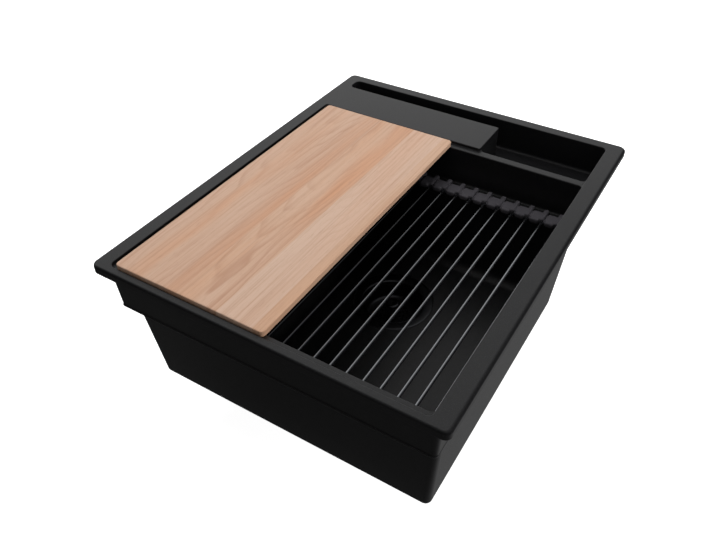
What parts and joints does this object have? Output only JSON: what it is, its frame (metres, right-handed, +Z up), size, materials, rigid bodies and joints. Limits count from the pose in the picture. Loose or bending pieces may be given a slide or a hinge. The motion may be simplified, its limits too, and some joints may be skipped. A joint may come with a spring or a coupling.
{
  "type": "workstation kitchen sink",
  "caption": "Black composite drop-in workstation sink with wooden cutting board, roll-up drying rack, tap deck, accessory trough and basket strainer drain.",
  "frame": {"origin": "middle of the underside of the rim, at the level of the worktop that the sink is dropped into", "axes": "+Z up out of the worktop, +Y from the front edge to the tap deck and trough, +X to the right seen from the front; the sink is longest along Y and shortest along Z"},
  "size_m": [0.444, 0.56, 0.2692],
  "materials": {
    "composite": "matt black composite of quartz and resin, fine grain, cast skin",
    "board_wood": "pale glued hardwood staves, oiled, grain front to back",
    "rod_steel": "brushed stainless rod",
    "strip_silicone": "dark grey matt silicone",
    "black_steel": "brushed stainless steel with a dark graphite coating",
    "drain_steel": "satin stainless steel",
    "seal_rubber": "black rubber",
    "drain_plastic": "dark moulded polypropylene",
    "insert_brass": "turned brass",
    "hose_plastic": "grey ribbed polyethylene"
  },
  "bodies": {
    "sink": {"sink_body": "composite", "drain_flange": "black_steel", "flange_gasket": "seal_rubber", "drain_body": "drain_plastic", "body_gasket": "seal_rubber", "clamp_screw": "drain_steel", "screw_insert": "insert_brass", "overflow_cover": "black_steel", "overflow_screw": "drain_steel", "overflow_gasket": "seal_rubber", "overflow_housing": "drain_plastic", "overflow_hose": "hose_plastic", "hose_collars": "drain_plastic"},
    "board": {"cutting_board": "board_wood"},
    "rack": {"rack_rods": "rod_steel", "rack_front_strip": "strip_silicone", "rack_back_strip": "strip_silicone"},
    "basket": {"basket_cup": "black_steel", "basket_seal": "seal_rubber", "basket_clip": "drain_steel", "basket_knob": "black_steel"}
  },
  "joints": [
    {"name": "board_slide", "type": "slide", "parent": "sink", "child": "board", "axis": [1, 0, 0], "range_m": [-0.0078, 0.188]},
    {"name": "rack_lift", "type": "slide", "parent": "sink", "child": "rack", "axis": [0, 0, 1], "range_m": [0, 0.04]},
    {"name": "basket_lift", "type": "slide", "parent": "sink", "child": "basket", "axis": [0, 0, 1], "range_m": [0, 0.06]}
  ]
}
